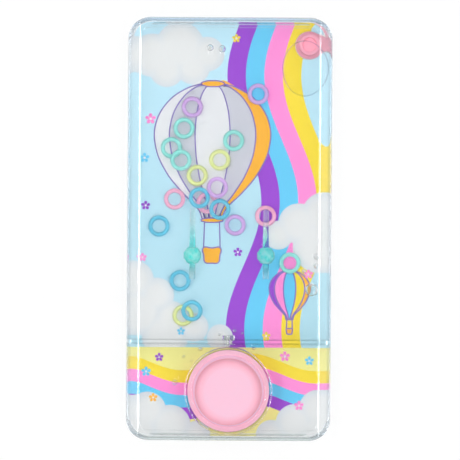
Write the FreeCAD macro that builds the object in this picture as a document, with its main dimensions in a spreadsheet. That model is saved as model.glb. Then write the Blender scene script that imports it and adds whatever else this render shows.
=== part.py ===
import FreeCAD, Part
import os
import re
import string
import Sketcher

# Handheld water game, lying on its back. X runs to the player's right, Y towards the filler end
# and Z out of the front window. The origin is under the middle of the case, on the rear rim.

DIMENSIONS = [
    # the clear case as a whole
    ("case_width", 70.0, "overall width"),
    ("case_length", 144.0, "overall length"),
    ("case_depth", 15.0, "rear rim to front window"),
    ("corner_radius", 8.0, "corners of the outline"),
    ("side_wall", 1.4, "thickness of the side walls"),
    ("front_wall", 1.4, "thickness of the front window"),
    ("shoulder_radius", 4.8, "round along the two long front edges"),
    ("end_edge_radius", 0.9, "round along the two short front edges"),
    ("inner_end_radius", 0.4, "round inside the two short front edges"),
    ("rear_edge_radius", 0.4, "round along the rear rim"),
    ("split_height", 3.0, "height of the welded joint line"),
    ("rear_floor", 2.0, "height of the rear wall's inner face"),
    ("tongue_thickness", 1.0, "tongue of the welded joint"),
    ("tongue_height", 1.5, "tongue above the joint line"),
    ("joint_clearance", 0.1, "between tongue and side wall"),
    ("overrun", 0.5, "how far a cutting shape passes a face"),
    ("match_distance", 0.001, "how near two points count as the same"),
    # the printed picture on the back
    ("label_margin", 1.3, "plain rim round the picture's recess"),
    ("label_recess", 0.4, "depth of the picture's recess"),
    ("label_thickness", 0.25, "printed sheet"),
    ("label_clearance", 0.1, "sheet to recess wall"),
    # the cross wall between tank and pump chamber
    ("partition_gap", 1.5, "clamping ring's rim to the middle of the cross wall"),
    ("partition_thickness", 1.4, "cross wall"),
    ("jet_height", 5.0, "jet axis above the rear rim"),
    ("jet_bore", 2.0, "jet passage diameter"),
    ("jet_nozzle_diameter", 4.2, "nozzle boss diameter"),
    ("jet_nozzle_rise", 1.3, "nozzle boss into the tank"),
    ("jet_nozzle_drop", 0.5, "nozzle boss into the pump chamber"),
    # the soft button, its seat and its clamping ring
    ("button_end_gap", 2.1, "clamping ring's rim to the button end"),
    ("cap_diameter", 22.6, "pressed top of the button"),
    ("cap_thickness", 2.0, "pressed top of the button"),
    ("cap_proud", 5.5, "top of the button above the front window"),
    ("cap_edge_radius", 1.3, "round of the top's edge"),
    ("skirt_flare", 0.8, "radial, flexing side wall's foot beyond its top"),
    ("skirt_wall", 0.8, "flexing side wall"),
    ("flange_width", 1.8, "radial, clamped flange beyond the side wall's foot"),
    ("flange_thickness", 1.2, "clamped flange"),
    ("seat_depth", 2.0, "flange seat below the front window"),
    ("seat_clearance", 0.1, "radial, flange to seat"),
    ("seat_lip", 0.2, "radial, seat inside the side wall's foot"),
    ("seat_boss_drop", 2.2, "seat boss below the front wall"),
    ("bezel_overlap", 0.9, "radial, clamping ring beyond the seat"),
    ("bezel_bore_gap", 0.15, "radial, side wall's foot to the clamping ring"),
    ("bezel_head", 1.2, "clamping ring above the front window"),
    ("bezel_edge_radius", 0.5, "round of the clamping ring"),
    ("bezel_clearance", 0.05, "radial, ring's spigot to seat"),
    # the two pegs
    ("peg_height", 7.6, "peg axis above the rear rim"),
    ("ball_diameter", 6.3, "peg ball"),
    ("spike_length", 16.0, "ball's middle to the tip"),
    ("spike_root_diameter", 2.3, "spike at the ball"),
    ("spike_tip_diameter", 1.6, "spike at its tip"),
    ("stem_length", 5.0, "ball's middle down to the foot's axis"),
    ("stem_tail", 2.0, "stem beyond the foot's axis"),
    ("stem_diameter", 2.0, "stem under the ball"),
    ("foot_diameter", 1.8, "foot that stands in the socket"),
    ("socket_clearance", 0.05, "radial, foot to socket"),
    ("socket_wall", 0.75, "socket boss round the foot's hole"),
    ("socket_height", 1.7, "socket boss above the rear wall"),
    # the filler plug and its hole
    ("plug_from_side", 7.7, "plug axis to the right side"),
    ("plug_from_top", 8.3, "plug axis to the filler end"),
    ("plug_diameter", 7.4, "plug's shank"),
    ("plug_length", 3.6, "plug's shank above its flange"),
    ("plug_clearance", 0.05, "radial, plug to hole"),
    ("plug_flange_diameter", 9.6, "plug's outer flange"),
    ("plug_flange_thickness", 0.8, "plug's outer flange"),
    ("plug_flange_clearance", 0.2, "radial, flange to counterbore"),
    ("plug_counterbore", 1.0, "depth of the flange's counterbore"),
    ("plug_recess_diameter", 4.8, "hollow in the plug's inner end"),
    ("plug_recess_depth", 2.2, "hollow in the plug's inner end"),
    ("plug_boss_wall", 1.4, "boss round the filler hole"),
    ("plug_boss_height", 1.2, "boss above the rear wall"),
    ("plug_label_gap", 0.3, "radial, counterbore to the picture's hole"),
    # the loose rings
    ("ring_diameter", 7.3, "outside of a ring"),
    ("ring_section", 1.4, "round section of a ring"),
    ("ring_floor_gap", 0.3, "lowest rings above the rear wall"),
    ("ring_layer_gap", 0.35, "between rings that lie over each other"),
]

# Places as shares of the case's half width and of the tank's half length, from the tank's middle.
PEG_PLACE_SHARES = (0.36, -0.469)
GROUP_PLACE_SHARES = {
    "left_peg": (-0.36, -0.469),
    "heap": (-0.32, 0.038),
    "lower_left": (-0.451, -0.853),
    "left_side": (-0.694, -0.285),
    "upper_right": (0.276, 0.558),
    "middle": (0.057, -0.276),
    "right_spike": (0.357, -0.218),
    "lower_right": (0.599, -0.515),
}

# Each ring: its name, its group, its place from the group's as shares of a ring's diameter, and
# how many ring thicknesses lie under it.
RING_PLACE_SHARES = [
    ("ring_purple_1", "upper_right", 0, 0, 0),
    ("ring_purple_2", "heap", -0.25, 3.23, 0),
    ("ring_purple_3", "heap", 0.96, -0.57, 2),
    ("ring_purple_4", "middle", 0, 0, 0),
    ("ring_teal_1", "heap", -0.64, 2.23, 0),
    ("ring_teal_2", "heap", -1.23, 1.30, 0),
    ("ring_teal_3", "heap", -0.77, 0.71, 1),
    ("ring_teal_4", "heap", 1.71, 1.66, 0),
    ("ring_teal_5", "lower_right", 0, 0, 0),
    ("ring_yellow_1", "heap", 1.06, 0.74, 0),
    ("ring_yellow_2", "heap", 0, 0, 0),
    ("ring_yellow_3", "lower_left", 0, 0, 0),
    ("ring_pink_1", "heap", -1.06, -1.12, 0),
    ("ring_pink_2", "right_spike", 0, 0, 0),
    ("ring_pink_3", "heap", 0.47, -1.30, 0),
    ("ring_blue_1", "heap", 0.11, -1.06, 1),
    ("ring_blue_2", "heap", 1.08, -1.60, 1),
    ("ring_blue_3", "left_side", 0, 0, 0),
    ("ring_blue_4", "left_peg", -0.59, -1.21, 0),
    ("ring_blue_5", "lower_left", 0.42, 0.23, 1),
]

SKIRT_FOOT_RADIUS = "(cap_diameter / 2 + skirt_flare)"
FLANGE_RADIUS = f"({SKIRT_FOOT_RADIUS} + flange_width)"
BEZEL_RADIUS = f"({FLANGE_RADIUS} + seat_clearance + bezel_overlap)"
BEZEL_BORE_RADIUS = f"({SKIRT_FOOT_RADIUS} + bezel_bore_gap)"
BUTTON_Y = f"({BEZEL_RADIUS} + button_end_gap - case_length / 2)"
PARTITION_Y = f"({BUTTON_Y} + {BEZEL_RADIUS} + partition_gap)"
TANK_LOW_Y = f"({PARTITION_Y} + partition_thickness / 2)"
TANK_HIGH_Y = "(case_length / 2 - side_wall)"
SOCKET_HOLE_RADIUS = "(foot_diameter / 2 + socket_clearance)"
PLUG_X = "case_width / 2 - plug_from_side"
PLUG_Y = "case_length / 2 - plug_from_top"
WINDOW_INSIDE = "case_depth - front_wall"
SEAT_HEIGHT = "case_depth - seat_depth"
FLANGE_TOP = "case_depth - seat_depth + flange_thickness"
CAP_BOTTOM = "case_depth + cap_proud - cap_thickness"
TONGUE_TOP = "split_height + tongue_height"
REAR_MIDDLE = "(rear_floor + label_recess) / 2"


def place_across(share):
    """A place across the case, as a share of its half width."""
    return f"{share} * case_width / 2"


def place_along(share):
    """A place along the tank, as a share of its half length from its middle."""
    middle = f"({TANK_HIGH_Y} + {TANK_LOW_Y}) / 2"
    half = f"({TANK_HIGH_Y} - {TANK_LOW_Y}) / 2"
    return f"({middle} + {share} * {half})"


PEG_X = place_across(PEG_PLACE_SHARES[0])
BALL_Y = place_along(PEG_PLACE_SHARES[1])
FOOT_Y = f"({BALL_Y} - stem_length)"
PEGS = (("left", f"-({PEG_X})"), ("right", PEG_X))

doc = FreeCAD.newDocument("WaterGame")
sheet = doc.addObject("Spreadsheet::Sheet", "Sizes")
for row, (alias, value, note) in enumerate(DIMENSIONS, 1):
    sheet.set(f"A{row}", alias)
    sheet.set(f"B{row}", str(value))
    sheet.set(f"C{row}", note)
    sheet.setAlias(f"B{row}", alias)
doc.recompute()

ALIASES = {alias for alias, value, note in DIMENSIONS}
ALONG = FreeCAD.Rotation(FreeCAD.Vector(1, 0, 0), -90)
NO_TURN = FreeCAD.Rotation()


def size(alias):
    """One driving dimension's value."""
    return float(getattr(sheet, alias))


def linked(text):
    """An expression with each dimension's name pointed at the sheet."""
    return re.sub(r"[a-z_]+", lambda m: f"Sizes.{m[0]}" if m[0] in ALIASES else m[0], text)


def bind(obj, **expressions):
    """Bind an object's properties to expressions on the sheet."""
    for prop, text in expressions.items():
        obj.setExpression(prop, linked(text))


def put(obj, x, y, z, rotation=NO_TURN):
    """Place an object at three expressions."""
    obj.Placement = FreeCAD.Placement(FreeCAD.Vector(), rotation)
    for axis, text in zip("xyz", (x, y, z)):
        obj.setExpression(f"Placement.Base.{axis}", linked(text))


def block(name, half_width, half_length, low, high):
    """A box centred on the case's axis, between two heights."""
    obj = doc.addObject("Part::Box", name)
    bind(obj, Length=f"2 * ({half_width})", Width=f"2 * ({half_length})",
         Height=f"({high}) - ({low})")
    put(obj, f"-({half_width})", f"-({half_length})", low)
    return obj


def post(name, radius, x, y, low, high):
    """An upright cylinder between two heights."""
    obj = doc.addObject("Part::Cylinder", name)
    bind(obj, Radius=radius, Height=f"({high}) - ({low})")
    put(obj, x, y, low)
    return obj


def rod(name, radius, x, start, end, z):
    """A cylinder that lies along the case, from one Y to another."""
    obj = doc.addObject("Part::Cylinder", name)
    bind(obj, Radius=radius, Height=f"({end}) - ({start})")
    put(obj, x, start, z, ALONG)
    return obj


def fillet(name, base, radii_of_edge):
    """Round the edges to which radii_of_edge gives a pair of radii."""
    doc.recompute()
    edges = []
    for index, edge in enumerate(base.Shape.Edges, 1):
        radii = radii_of_edge(edge)
        if radii:
            edges.append((index, radii[0], radii[1]))
    obj = doc.addObject("Part::Fillet", name)
    obj.Base = base
    obj.Edges = edges
    return obj


def upright_edges(radius):
    """Chooses the upright edges of a box."""
    def radii(edge):
        first, last = edge.Vertexes[0].Point, edge.Vertexes[-1].Point
        across = FreeCAD.Vector(last.x - first.x, last.y - first.y, 0).Length
        return (radius, radius) if across < size("match_distance") else None
    return radii


def edges_at(height, radius):
    """Chooses all edges at one height."""
    def radii(edge):
        level = all(abs(v.Z - height) < size("match_distance") for v in edge.Vertexes)
        return (radius, radius) if level else None
    return radii


def long_edges_at(height, radius):
    """Chooses the edges along the case's length at one height."""
    def radii(edge):
        first, last = edge.Vertexes[0], edge.Vertexes[-1]
        level = all(abs(v.Z - height) < size("match_distance") for v in (first, last))
        lengthwise = abs(first.X - last.X) < size("match_distance")
        return (radius, radius) if level and lengthwise else None
    return radii


def rounded_block(name, inset, low, high):
    """A block set in from the outline by inset, with the outline's corners."""
    base = block(f"{name}_box", f"case_width / 2 - ({inset})", f"case_length / 2 - ({inset})",
                 low, high)
    doc.recompute()
    outer = size("corner_radius")
    radius = outer - (size("case_width") - float(base.Length)) / 2
    return fillet(name, base, upright_edges(radius))


def join(name, shapes):
    """One solid of several."""
    obj = doc.addObject("Part::MultiFuse", name)
    obj.Shapes = shapes
    obj.Refine = True
    return obj


def window_block(name, inset, low, high, side_radius, end_radius):
    """A rounded block whose upper edges have a wide round along the two long sides and a narrow
    one along the two short sides."""
    outline = rounded_block(f"{name}_outline", inset, low, high)
    doc.recompute()
    top = outline.Shape.BoundBox.ZMax
    rimmed = fillet(f"{name}_rimmed", outline, edges_at(top, end_radius))
    bar = block(f"{name}_bar", f"case_width / 2 - ({inset})", "case_length / 2 + overrun",
                low, high)
    shouldered = fillet(f"{name}_shouldered", bar, long_edges_at(top, side_radius))
    solid = doc.addObject("Part::Common", name)
    solid.Base = rimmed
    solid.Tool = shouldered
    return solid


def cut(name, base, tools):
    """A solid less one or several others."""
    obj = doc.addObject("Part::Cut", name)
    obj.Base = base
    obj.Tool = tools[0] if len(tools) == 1 else join(f"{name}_tools", tools)
    obj.Refine = True
    return obj


def plane_of(body, role):
    """One of a body's own origin planes."""
    return next(f for f in body.Origin.OriginFeatures if f.Role == role)


def evaluated(name, expressions):
    """The values of several expressions, held by a small object of their own."""
    sizes = doc.addObject("App::FeaturePython", name)
    names = [f"value_{letter}" for letter in string.ascii_lowercase[:len(expressions)]]
    for prop, text in zip(names, expressions):
        sizes.addProperty("App::PropertyFloat", prop)
        sizes.setExpression(prop, linked(text))
    doc.recompute()
    return [getattr(sizes, prop) for prop in names]


def turned_body(name, profile, x, y, z):
    """A body of revolution about its upright axis, from a closed profile of radius and height
    expressions, none below zero."""
    body = doc.addObject("PartDesign::Body", name)
    sketch = body.newObject("Sketcher::SketchObject", f"{name}_profile")
    sketch.AttachmentSupport = [(plane_of(body, "XZ_Plane"), "")]
    sketch.MapMode = "FlatFace"
    radii = evaluated(f"{name}_radii", [radius for radius, height in profile])
    heights = evaluated(f"{name}_heights", [height for radius, height in profile])
    points = [FreeCAD.Vector(radius, height, 0) for radius, height in zip(radii, heights)]
    for start, end in zip(points, points[1:] + points[:1]):
        sketch.addGeometry(Part.LineSegment(start, end), False)
    for index in range(len(points)):
        following = (index + 1) % len(points)
        sketch.addConstraint(Sketcher.Constraint("Coincident", index, 2, following, 1))
    for index, (radius, height) in enumerate(profile):
        corner = points[index]
        if radius == "0":
            sketch.addConstraint(Sketcher.Constraint("PointOnObject", index, 1, -2))
        else:
            number = sketch.addConstraint(
                Sketcher.Constraint("DistanceX", -1, 1, index, 1, corner.x))
            sketch.setExpression(f"Constraints[{number}]", linked(radius))
        if height == "0":
            sketch.addConstraint(Sketcher.Constraint("PointOnObject", index, 1, -1))
        else:
            number = sketch.addConstraint(
                Sketcher.Constraint("DistanceY", -1, 1, index, 1, corner.y))
            sketch.setExpression(f"Constraints[{number}]", linked(height))
    turned = body.newObject("PartDesign::Revolution", f"{name}_turned")
    turned.Profile = sketch
    turned.ReferenceAxis = (sketch, ["V_Axis"])
    turned.Angle = 360
    body.Tip = turned
    put(body, x, y, z)
    doc.recompute()
    return body


def round_body_edges(body, name, radius, height, edge_radius):
    """Round the body's circular edge at one height and radius, both above its own origin."""
    base = body.Tip
    near = size("match_distance")
    radius, height = evaluated(f"{name}_sizes", [radius, height])
    chosen = []
    for index, edge in enumerate(base.Shape.Edges, 1):
        if not isinstance(edge.Curve, Part.Circle):
            continue
        level = abs(edge.Curve.Center.z - height) < near
        if level and abs(edge.Curve.Radius - radius) < near:
            chosen.append(f"Edge{index}")
    rounded = body.newObject("PartDesign::Fillet", name)
    rounded.Base = (base, chosen)
    bind(rounded, Radius=edge_radius)
    body.Tip = rounded
    doc.recompute()


def make_front_shell():
    """The clear tray: window, side walls, cross wall with its jet, and the button's seat."""
    wall = size("side_wall")
    outer = window_block("front_outer", "0", "split_height", "case_depth",
                         size("shoulder_radius"), size("end_edge_radius"))
    cavity = window_block("front_cavity", "side_wall", "split_height - overrun", WINDOW_INSIDE,
                          size("shoulder_radius") - wall, size("inner_end_radius"))
    tray = cut("front_tray", outer, [cavity])
    slab = doc.addObject("Part::Box", "partition_box")
    bind(slab, Length="case_width", Width="partition_thickness",
         Height="case_depth - split_height")
    put(slab, "-case_width / 2", f"{PARTITION_Y} - partition_thickness / 2", "split_height")
    partition = doc.addObject("Part::Common", "partition")
    partition.Base = outer
    partition.Tool = slab
    foot = doc.addObject("Part::Box", "partition_foot")
    bind(foot, Length="case_width - 2 * side_wall", Width="partition_thickness",
         Height="split_height + overrun - rear_floor")
    put(foot, "side_wall - case_width / 2", f"{PARTITION_Y} - partition_thickness / 2",
        "rear_floor")
    nozzle = rod("jet_nozzle", "jet_nozzle_diameter / 2", "0",
                 f"{PARTITION_Y} - partition_thickness / 2 - jet_nozzle_drop",
                 f"{PARTITION_Y} + partition_thickness / 2 + jet_nozzle_rise", "jet_height")
    boss = post("seat_boss", BEZEL_RADIUS, "0", BUTTON_Y,
                f"{WINDOW_INSIDE} - seat_boss_drop", "case_depth - front_wall / 2")
    solid = join("front_solid", [tray, partition, foot, nozzle, boss])
    room = rounded_block("tongue_room_outer", "side_wall", "rear_floor - overrun",
                         f"{TONGUE_TOP} + joint_clearance")
    core = rounded_block("tongue_room_core",
                         "side_wall + tongue_thickness + 2 * joint_clearance",
                         "rear_floor - 2 * overrun", f"{TONGUE_TOP} + overrun")
    tongue_room = cut("tongue_room", room, [core])
    seat = post("seat_counterbore", f"{FLANGE_RADIUS} + seat_clearance", "0", BUTTON_Y,
                SEAT_HEIGHT, "case_depth + overrun")
    bore = post("seat_hole", f"{SKIRT_FOOT_RADIUS} - seat_lip", "0", BUTTON_Y,
                f"{WINDOW_INSIDE} - seat_boss_drop - overrun", "case_depth + overrun")
    jet = rod("jet_hole", "jet_bore / 2", "0",
              f"{PARTITION_Y} - partition_thickness / 2 - jet_nozzle_drop - overrun",
              f"{PARTITION_Y} + partition_thickness / 2 + jet_nozzle_rise + overrun",
              "jet_height")
    return cut("front_shell", solid, [tongue_room, seat, bore, jet])


def make_rear_shell():
    """The clear back: rear wall, joint tongue, peg sockets, filler boss and picture recess."""
    plate = fillet("rear_plate", rounded_block("rear_outline", "0", "0", "split_height"),
                   edges_at(0, size("rear_edge_radius")))
    tongue = rounded_block("tongue_outer", "side_wall + joint_clearance", "rear_floor",
                           TONGUE_TOP)
    core = rounded_block("tongue_core", "side_wall + joint_clearance + tongue_thickness",
                         "rear_floor", f"{TONGUE_TOP} + overrun")
    tray = cut("rear_tray", join("rear_tray_solid", [plate, tongue]), [core])
    sockets = [post(f"socket_boss_{side}", f"{SOCKET_HOLE_RADIUS} + socket_wall", x, FOOT_Y,
                    REAR_MIDDLE, "rear_floor + socket_height") for side, x in PEGS]
    boss = post("filler_boss", "plug_diameter / 2 + plug_clearance + plug_boss_wall", PLUG_X,
                PLUG_Y, REAR_MIDDLE, "rear_floor + plug_boss_height")
    solid = join("rear_solid", [tray, boss] + sockets)
    holes = [post(f"socket_hole_{side}", SOCKET_HOLE_RADIUS, x, FOOT_Y, "rear_floor",
                  "rear_floor + socket_height + overrun") for side, x in PEGS]
    filler = post("filler_hole", "plug_diameter / 2 + plug_clearance", PLUG_X, PLUG_Y,
                  "-overrun", "rear_floor + plug_boss_height + overrun")
    counterbore = post("filler_counterbore", "plug_flange_diameter / 2 + plug_flange_clearance",
                       PLUG_X, PLUG_Y, "-overrun", "plug_counterbore")
    recess = rounded_block("label_recess_block", "label_margin", "-overrun", "label_recess")
    return cut("rear_shell", solid, holes + [filler, counterbore, recess])


def make_picture_label():
    """The printed sheet, with a hole round the filler plug."""
    sheet_block = rounded_block("label_sheet", "label_margin + label_clearance",
                                "label_recess - label_thickness", "label_recess")
    hole = post("label_hole",
                "plug_flange_diameter / 2 + plug_flange_clearance + plug_label_gap",
                PLUG_X, PLUG_Y, "-overrun", "label_recess + overrun")
    return cut("picture_label", sheet_block, [hole])


def make_button():
    """The soft button's flange, side wall and top, and the clear ring that clamps it."""
    flange = turned_body(
        "button_flange",
        [(f"{SKIRT_FOOT_RADIUS} - skirt_wall", "0"), (FLANGE_RADIUS, "0"),
         (FLANGE_RADIUS, "flange_thickness"),
         (f"{SKIRT_FOOT_RADIUS} - skirt_wall", "flange_thickness")],
        "0", BUTTON_Y, SEAT_HEIGHT)
    rise = f"({CAP_BOTTOM}) - ({FLANGE_TOP})"
    skirt = turned_body(
        "button_skirt",
        [(f"{SKIRT_FOOT_RADIUS} - skirt_wall", "0"), (SKIRT_FOOT_RADIUS, "0"),
         ("cap_diameter / 2", rise), ("cap_diameter / 2 - skirt_wall", rise)],
        "0", BUTTON_Y, FLANGE_TOP)
    cap = turned_body(
        "button_cap",
        [("0", "0"), ("cap_diameter / 2", "0"), ("cap_diameter / 2", "cap_thickness"),
         ("0", "cap_thickness")],
        "0", BUTTON_Y, CAP_BOTTOM)
    round_body_edges(cap, "button_cap_round", "cap_diameter / 2", "cap_thickness",
                     "cap_edge_radius")
    spigot = "seat_depth - flange_thickness"
    spigot_radius = f"{FLANGE_RADIUS} + seat_clearance - bezel_clearance"
    bezel = turned_body(
        "button_bezel",
        [(BEZEL_BORE_RADIUS, "0"), (spigot_radius, "0"), (spigot_radius, spigot),
         (BEZEL_RADIUS, spigot), (BEZEL_RADIUS, f"{spigot} + bezel_head"),
         (BEZEL_BORE_RADIUS, f"{spigot} + bezel_head")],
        "0", BUTTON_Y, FLANGE_TOP)
    head = f"{spigot} + bezel_head"
    round_body_edges(bezel, "button_bezel_outer_round", BEZEL_RADIUS, head, "bezel_edge_radius")
    round_body_edges(bezel, "button_bezel_inner_round", BEZEL_BORE_RADIUS, head,
                     "bezel_edge_radius")
    return [flange, skirt, cap, bezel]


def make_peg(name, x):
    """A peg: ball, spike towards the filler end, stem, and a foot that stands in its socket."""
    ball = doc.addObject("Part::Sphere", f"{name}_ball")
    bind(ball, Radius="ball_diameter / 2")
    put(ball, x, BALL_Y, "peg_height")
    spike = doc.addObject("Part::Cone", f"{name}_spike")
    bind(spike, Radius1="spike_root_diameter / 2", Radius2="spike_tip_diameter / 2",
         Height="spike_length")
    put(spike, x, BALL_Y, "peg_height", ALONG)
    stem = rod(f"{name}_stem", "stem_diameter / 2", x, f"{FOOT_Y} - stem_tail", BALL_Y,
               "peg_height")
    stem_end = doc.addObject("Part::Sphere", f"{name}_stem_end")
    bind(stem_end, Radius="stem_diameter / 2")
    put(stem_end, x, f"{FOOT_Y} - stem_tail", "peg_height")
    foot = post(f"{name}_foot", "foot_diameter / 2", x, FOOT_Y, "rear_floor", "peg_height")
    return join(name, [ball, spike, stem, stem_end, foot])


def make_filler_plug():
    """The soft plug: outer flange, shank and the hollow in its inner end."""
    top = "plug_flange_thickness + plug_length"
    hollow = f"{top} - plug_recess_depth"
    return turned_body(
        "filler_plug",
        [("0", "0"), ("plug_flange_diameter / 2", "0"),
         ("plug_flange_diameter / 2", "plug_flange_thickness"),
         ("plug_diameter / 2", "plug_flange_thickness"), ("plug_diameter / 2", top),
         ("plug_recess_diameter / 2", top), ("plug_recess_diameter / 2", hollow),
         ("0", hollow)],
        PLUG_X, PLUG_Y, "plug_counterbore - plug_flange_thickness")


def make_ring(name, group, across_share, along_share, layers_under):
    """One loose ring, lying flat."""
    group_across, group_along = GROUP_PLACE_SHARES[group]
    ring = doc.addObject("Part::Torus", name)
    bind(ring, Radius1="ring_diameter / 2 - ring_section / 2", Radius2="ring_section / 2")
    put(ring, f"{place_across(group_across)} + {across_share} * ring_diameter",
        f"{place_along(group_along)} + {along_share} * ring_diameter",
        "rear_floor + ring_floor_gap + ring_section / 2"
        f" + {layers_under} * (ring_section + ring_layer_gap)")
    return ring


parts = [make_front_shell(), make_rear_shell(), make_picture_label()]
parts += make_button()
parts += [make_peg(f"peg_{side}", x) for side, x in PEGS]
parts.append(make_filler_plug())
parts += [make_ring(*place) for place in RING_PLACE_SHARES]
for part in parts:
    part.Label = part.Name
doc.recompute()

for obj in doc.Objects:
    if {"Invalid", "Error"} & set(obj.State):
        raise RuntimeError(f"{obj.Label} did not compute: {obj.State}")
for part in parts:
    if part.Shape.isNull() or not part.Shape.isValid() or len(part.Shape.Solids) != 1:
        raise RuntimeError(f"{part.Label} is not one valid solid")

os.makedirs("parts", exist_ok=True)
for part in parts:
    part.Shape.exportStep(os.path.join("parts", f"{part.Label}.step"))
    print(f"{part.Label}: {part.Shape.Volume:.2f} mm3")
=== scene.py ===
import math

import bmesh
import bpy
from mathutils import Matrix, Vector


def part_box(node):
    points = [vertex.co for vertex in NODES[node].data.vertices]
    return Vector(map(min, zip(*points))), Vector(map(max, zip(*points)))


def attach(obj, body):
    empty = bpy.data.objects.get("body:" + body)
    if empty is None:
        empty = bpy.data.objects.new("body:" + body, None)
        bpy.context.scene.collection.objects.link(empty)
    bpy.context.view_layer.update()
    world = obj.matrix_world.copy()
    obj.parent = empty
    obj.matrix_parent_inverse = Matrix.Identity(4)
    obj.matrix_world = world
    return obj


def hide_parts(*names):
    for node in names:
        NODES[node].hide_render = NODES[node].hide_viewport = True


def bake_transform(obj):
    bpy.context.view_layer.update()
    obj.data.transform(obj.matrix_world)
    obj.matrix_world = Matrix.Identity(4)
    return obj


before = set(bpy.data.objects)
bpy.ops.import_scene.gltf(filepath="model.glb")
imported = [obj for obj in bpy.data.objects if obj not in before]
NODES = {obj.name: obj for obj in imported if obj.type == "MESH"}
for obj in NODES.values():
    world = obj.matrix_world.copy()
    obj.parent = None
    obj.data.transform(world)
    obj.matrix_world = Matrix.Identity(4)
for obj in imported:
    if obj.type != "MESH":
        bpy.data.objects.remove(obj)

bl_info = {
    "name": "Handheld Water Game",
    "version": (1, 0, 0),
    "blender": (4, 5, 0),
    "location": "3D View > Sidebar > Water Game",
    "description": "Dresses the handheld ring-toss water game and lights it as in the photograph",
    "category": "Object",
}

MM = 0.001
SAME_PLACE = 0.001 * MM
NEARLY = 0.005 * MM
SMOOTH_ANGLE = math.radians(35)

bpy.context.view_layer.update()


def middle(low, high):
    """The middle between two corners of a box."""
    return (low + high) / 2


CASE_LOW, CASE_HIGH = (Vector(corner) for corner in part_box("front_shell"))
SHEET_LOW, SHEET_HIGH = (Vector(corner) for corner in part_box("picture_label"))
CAP_LOW, CAP_HIGH = (Vector(corner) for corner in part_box("button_cap"))
SKIRT_LOW, SKIRT_HIGH = (Vector(corner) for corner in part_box("button_skirt"))
FLANGE_LOW, FLANGE_HIGH = (Vector(corner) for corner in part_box("button_flange"))
BEZEL_LOW, BEZEL_HIGH = (Vector(corner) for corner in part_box("button_bezel"))
PLUG_LOW, PLUG_HIGH = (Vector(corner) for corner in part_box("filler_plug"))
BUTTON = middle(CAP_LOW, CAP_HIGH)
PLUG = middle(PLUG_LOW, PLUG_HIGH)


# Colour and length values

def linear(hex_value):
    """An sRGB hex colour as linear red, green, blue and alpha."""
    channels = [int(hex_value[i:i + 2], 16) / 255 for i in (1, 3, 5)]
    return tuple(c / 12.92 if c <= 0.04045 else ((c + 0.055) / 1.055) ** 2.4
                 for c in channels) + (1.0,)


WHITE = linear("#FFFFFF")


def colour(name, hex_value, description):
    """A colour that a user can change."""
    return bpy.props.FloatVectorProperty(
        name=name, description=description, subtype="COLOR", size=4, min=0.0, max=1.0,
        default=linear(hex_value))


def length(name, millimetres, description):
    """A length that a user can change."""
    return bpy.props.FloatProperty(
        name=name, description=description, default=millimetres * MM, min=0.0,
        unit="LENGTH", subtype="DISTANCE")


class WaterGameSizes(bpy.types.PropertyGroup):
    """Sizes of what is drawn in the scene alone."""
    overlap: length("Water overlap", 0.04, "How far the water reaches into the clear walls")
    window_thickness: length("Window thickness", 1.4, "Clear window over the water")
    wall_thickness: length("Wall thickness", 1.4, "Clear side walls round the water")
    floor_height: length("Rear wall height", 2.0, "Inner face of the rear wall")
    cavity_corner: length("Cavity corner", 6.6, "Corners of the water's outline")
    shoulder: length("Inner shoulder", 3.4, "Round of the water's long upper edges")
    end_round: length("Inner end round", 0.4, "Round of the water's short upper edges")
    partition: length("Cross wall", 1.4, "Thickness of the cross wall")
    bubble_width: length("Bubble width", 15.4, "Large air bubble, across the case")
    bubble_length: length("Bubble length", 19.2, "Large air bubble, along the case")
    bubble_depth: length("Bubble depth", 3.4, "Large air bubble, down from the window")
    outline: length("Printed outline", 0.45, "Width of the picture's lilac outlines")
    cap_round: length("Button edge", 1.3, "Round of the button's upper edge")
    cap_dish: length("Button dish", 0.35, "How far the button's top sinks to its middle")
    camera_height: length("Camera height", 550.0, "Camera above the case's front edge")


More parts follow.
